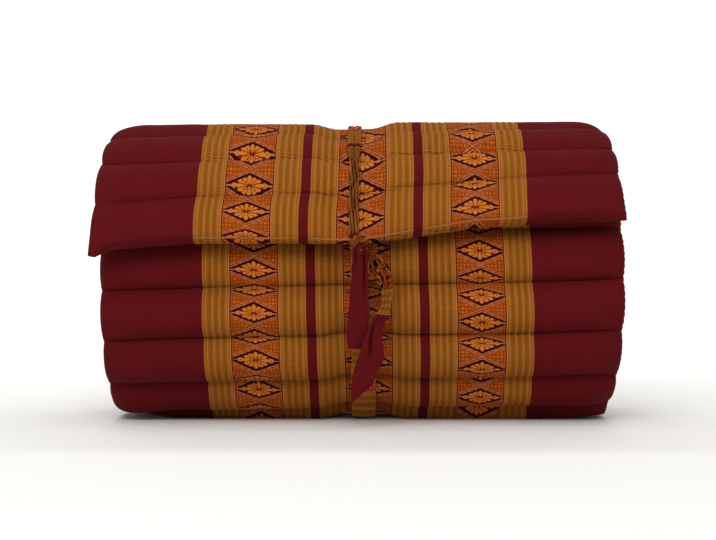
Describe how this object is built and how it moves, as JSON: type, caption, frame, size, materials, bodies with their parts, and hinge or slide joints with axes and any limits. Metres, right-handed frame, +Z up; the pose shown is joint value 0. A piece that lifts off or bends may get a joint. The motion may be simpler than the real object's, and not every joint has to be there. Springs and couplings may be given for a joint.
{
  "type": "roll-up floor mattress",
  "caption": "Crosswise quilted, stuffed floor mattress rolled up into a drum and tied round the middle with a cloth strap that is knotted at the free end.",
  "frame": {"origin": "centre of the bounding box in plan, on the floor under the roll", "axes": "+X along the axis of the roll, to the right when looking at the knot; -Y towards the front, where the free end and the knot are; +Z up"},
  "size_m": [0.504, 0.3203, 0.3009],
  "materials": {
    "maroon_cotton_case": "matt woven cotton",
    "gold_brocade_strap": "matt woven brocade",
    "knotted_strap": "matt woven cotton",
    "maroon_strap": "matt woven cotton",
    "creased_strap": "matt woven cotton"
  },
  "bodies": {
    "root": {"mattress": "maroon_cotton_case", "tie_band": "gold_brocade_strap", "tie_knot": "knotted_strap", "short_tail": "maroon_strap", "long_tail": "creased_strap"}
  },
  "joints": []
}
